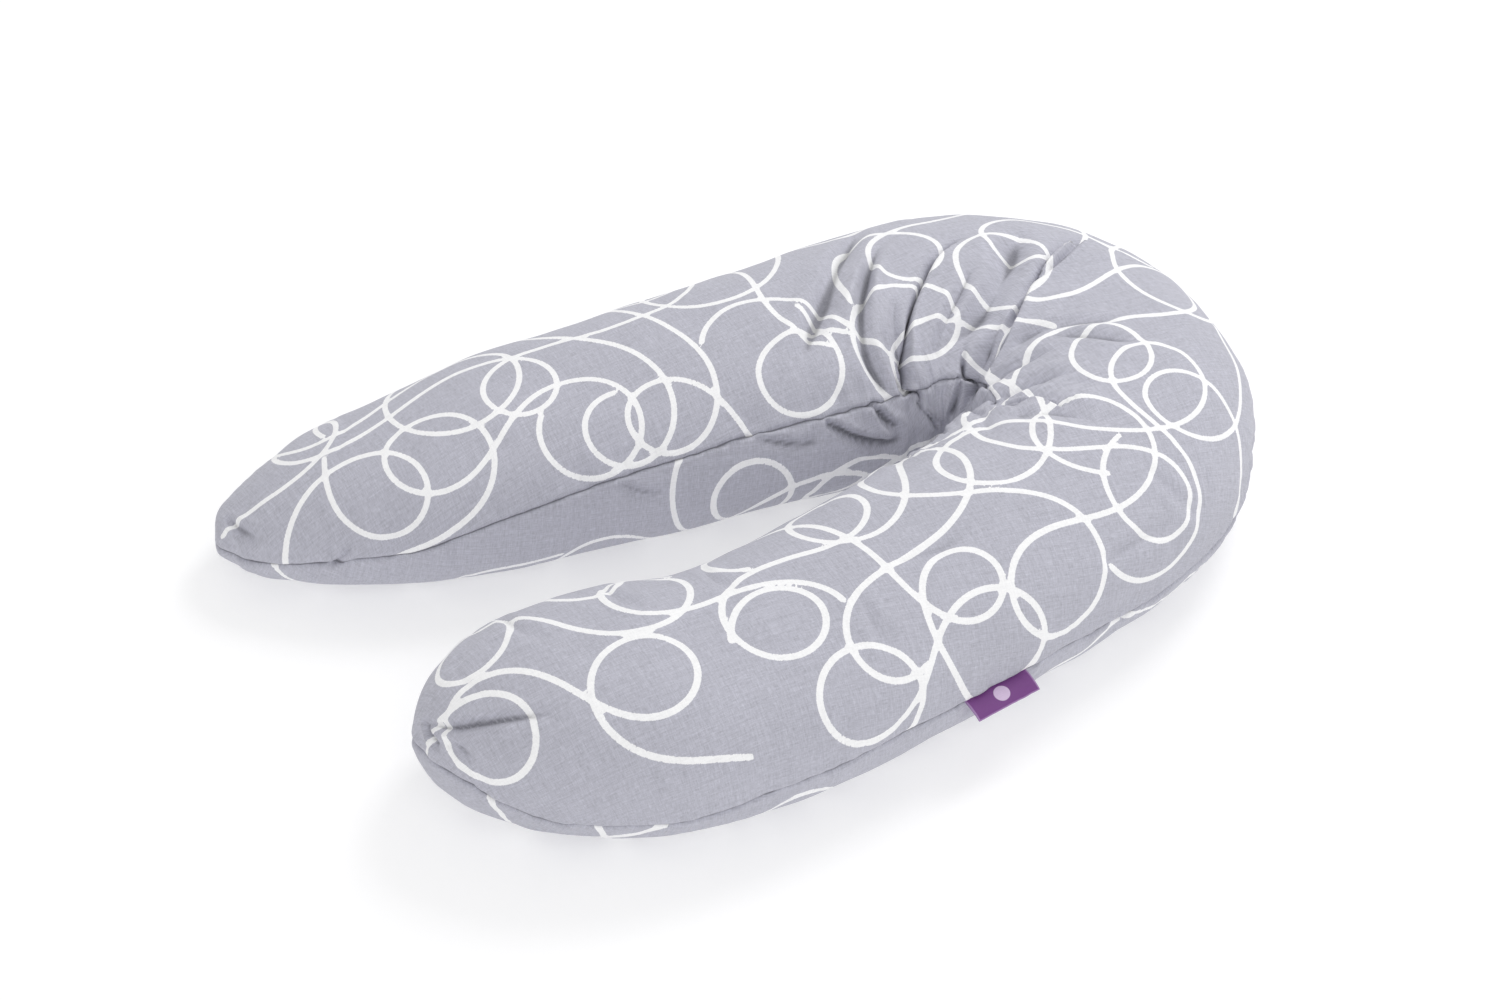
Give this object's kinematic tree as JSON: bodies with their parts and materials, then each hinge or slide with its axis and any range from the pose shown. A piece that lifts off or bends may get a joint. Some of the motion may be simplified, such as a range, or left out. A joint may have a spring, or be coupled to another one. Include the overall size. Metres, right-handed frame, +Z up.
{
  "type": "nursing pillow",
  "caption": "Full-length nursing pillow: a fabric tube filled with light beads, folded into a flat U, with a zipped cover and a small side label.",
  "frame": {"origin": "on the floor, under the centre of the bounding box", "axes": "+X toward the closed end of the U, +Y toward the back arm (the one with the zip), +Z up"},
  "size_m": [0.8076, 0.536, 0.1558],
  "materials": {
    "cover_fabric": "matte",
    "liner_fabric": "matte",
    "bead_fill": "matte",
    "side_label_fabric": "matte",
    "care_label_fabric": "matte",
    "zip_tape": "matte",
    "zip_coil": "satin",
    "zip_metal": "satin"
  },
  "bodies": {
    "bend": {"cover_upper_bend": "cover_fabric", "cover_lower_bend": "cover_fabric", "liner_upper_bend": "liner_fabric", "liner_lower_bend": "liner_fabric", "bead_fill_bend": "bead_fill", "side_label": "side_label_fabric", "care_label": "care_label_fabric"},
    "back_arm": {"cover_upper_back": "cover_fabric", "cover_lower_back": "cover_fabric", "liner_upper_back": "liner_fabric", "liner_lower_back": "liner_fabric", "bead_fill_back": "bead_fill", "zip_tape_upper": "zip_tape", "zip_tape_lower": "zip_tape", "zip_coil_upper": "zip_coil", "zip_coil_lower": "zip_coil", "zip_top_stop": "zip_metal", "zip_bottom_stop": "zip_metal"},
    "front_arm": {"cover_upper_front": "cover_fabric", "cover_lower_front": "cover_fabric", "liner_upper_front": "liner_fabric", "liner_lower_front": "liner_fabric", "bead_fill_front": "bead_fill"},
    "zip_slider": {"zip_slider": "zip_metal"},
    "zip_pull": {"zip_pull": "zip_metal"}
  },
  "joints": [
    {"name": "back_arm_swing", "type": "hinge", "parent": "bend", "child": "back_arm", "pos_m": [0.06, 0.147, 0.07], "axis": [0, 0, -1], "range_deg": [-8, 25]},
    {"name": "front_arm_swing", "type": "hinge", "parent": "bend", "child": "front_arm", "pos_m": [-0.07, -0.155, 0.07], "axis": [0, 0, 1], "range_deg": [-8, 25]},
    {"name": "zip_slide", "type": "slide", "parent": "back_arm", "child": "zip_slider", "axis": [-0.997, 0.0286, -0.0718], "range_m": [0, 0.2225]},
    {"name": "zip_pull_flip", "type": "hinge", "parent": "zip_slider", "child": "zip_pull", "pos_m": [-0.05492, 0.26508, 0.06713], "axis": [0.0718, -0.0021, -0.9974], "range_deg": [0, 165]}
  ]
}
